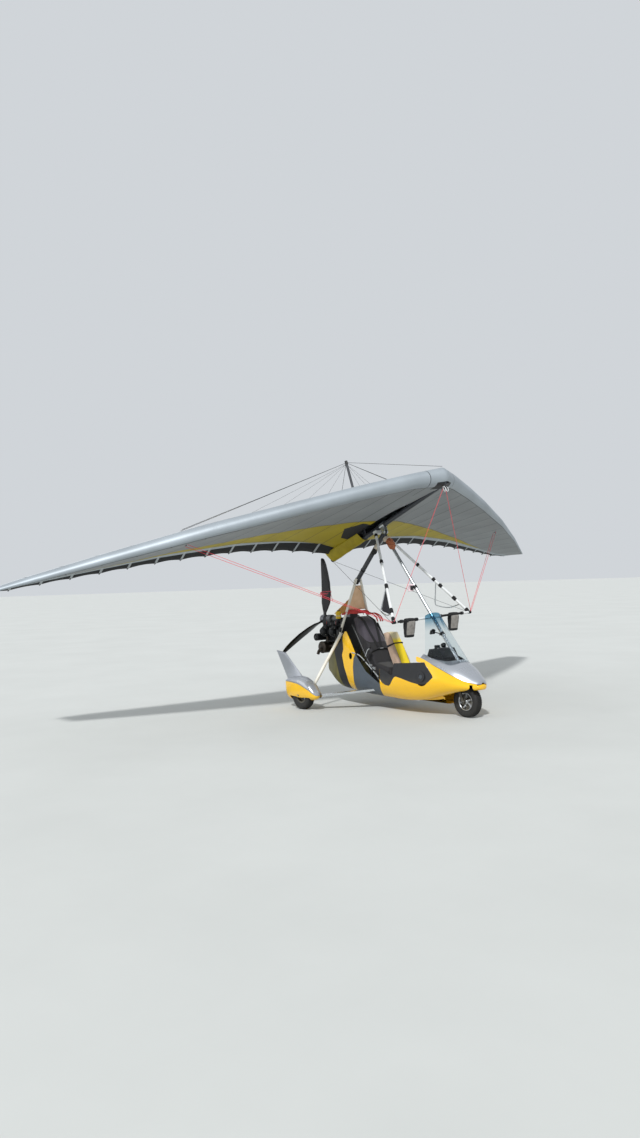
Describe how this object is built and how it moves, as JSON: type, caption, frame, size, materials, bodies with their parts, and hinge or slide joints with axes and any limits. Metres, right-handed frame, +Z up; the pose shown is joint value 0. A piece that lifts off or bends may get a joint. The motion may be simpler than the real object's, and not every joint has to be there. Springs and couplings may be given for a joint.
{
  "type": "microlight trike",
  "caption": "Weight-shift microlight with a flexible swept wing hung over an open pod with seats in tandem, main wheels in spats, a rear engine and a pusher propeller.",
  "frame": {"origin": "on the ground, under the middle of the whole craft with its wing", "axes": "+X forward, +Y to port along the wing span, +Z up"},
  "size_m": [3.3494, 9.3705, 3.2675],
  "materials": {
    "tyres": "satin",
    "nose_alloy": "satin",
    "wheel_cores": "satin",
    "steel_pins": "satin",
    "black_steel": "satin",
    "frame_tubes": "satin",
    "mast_cover": "matte",
    "wing_tubes": "satin",
    "bar_cover": "satin",
    "yellow_shell": "gloss",
    "silver_shell": "satin",
    "dark_shell": "matte",
    "hood_cloth": "matte",
    "clear_screen": "gloss",
    "engine_alloy": "matte",
    "seat_cloth": "matte",
    "front_seat_cloth": "matte",
    "blade_composite": "satin",
    "hub_alloy": "satin",
    "sail_cloth": "satin"
  },
  "bodies": {
    "trike": {"axles": "steel_pins", "carburettors": "engine_alloy", "cockpit_tub": "dark_shell", "coolant_bottle": "dark_shell", "cowl_side": "yellow_shell", "cowl_tail": "dark_shell", "crankcase": "engine_alloy", "cylinders": "engine_alloy", "dashboard": "dark_shell", "engine_mount": "black_steel", "exhaust": "engine_alloy", "front_strut": "frame_tubes", "gear_legs": "nose_alloy", "gear_struts": "frame_tubes", "keel_beam": "frame_tubes", "mast": "mast_cover", "mast_legs": "frame_tubes", "nose_deck": "silver_shell", "pod_shell": "yellow_shell", "seat_frame": "black_steel", "seat_front": "front_seat_cloth", "seat_rear": "seat_cloth", "side_panels": "silver_shell", "spat_bowls": "yellow_shell", "spat_caps": "silver_shell", "steering_head": "black_steel", "top_cowl": "hood_cloth", "windscreen": "clear_screen"},
    "fork": {"fork": "black_steel", "nose_axle": "steel_pins"},
    "nose_wheel": {"nose_tyre": "tyres", "nose_rim": "nose_alloy"},
    "left_wheel": {"left_tyre": "tyres", "left_rim": "wheel_cores"},
    "right_wheel": {"right_tyre": "tyres", "right_rim": "wheel_cores"},
    "propeller": {"prop_hub": "hub_alloy", "prop_blades": "blade_composite"},
    "hang_swivel": {"hang_block": "frame_tubes"},
    "wing": {"keel_tube": "frame_tubes", "sail_left": "sail_cloth", "sail_right": "sail_cloth", "uprights": "wing_tubes", "base_bar": "bar_cover", "bar_mitts": "seat_cloth", "kingpost": "wing_tubes", "stays": "steel_pins"}
  },
  "joints": [
    {"name": "steering", "type": "hinge", "parent": "trike", "child": "fork", "pos_m": [1.40674, 0, 0.186], "axis": [-0.309, 0, 0.9511], "range_deg": [-25, 25]},
    {"name": "nose_spin", "type": "hinge", "parent": "fork", "child": "nose_wheel", "pos_m": [1.42674, 0, 0.186], "axis": [0, 1, 0], "continuous": true},
    {"name": "left_spin", "type": "hinge", "parent": "trike", "child": "left_wheel", "pos_m": [-0.59126, 0.867, 0.186], "axis": [0, 1, 0], "continuous": true},
    {"name": "right_spin", "type": "hinge", "parent": "trike", "child": "right_wheel", "pos_m": [-0.59126, -0.867, 0.186], "axis": [0, 1, 0], "continuous": true},
    {"name": "prop_spin", "type": "hinge", "parent": "trike", "child": "propeller", "pos_m": [-1.16826, 0, 1.11], "axis": [1, 0, 0], "continuous": true},
    {"name": "wing_pitch", "type": "hinge", "parent": "trike", "child": "hang_swivel", "pos_m": [0.11812, 0, 2.26016], "axis": [0, 1, 0], "range_deg": [0, 16]},
    {"name": "wing_roll", "type": "hinge", "parent": "hang_swivel", "child": "wing", "pos_m": [0.02874, 0, 2.324], "axis": [0.9314, 0, 0.3641], "range_deg": [-18, 13]}
  ]
}
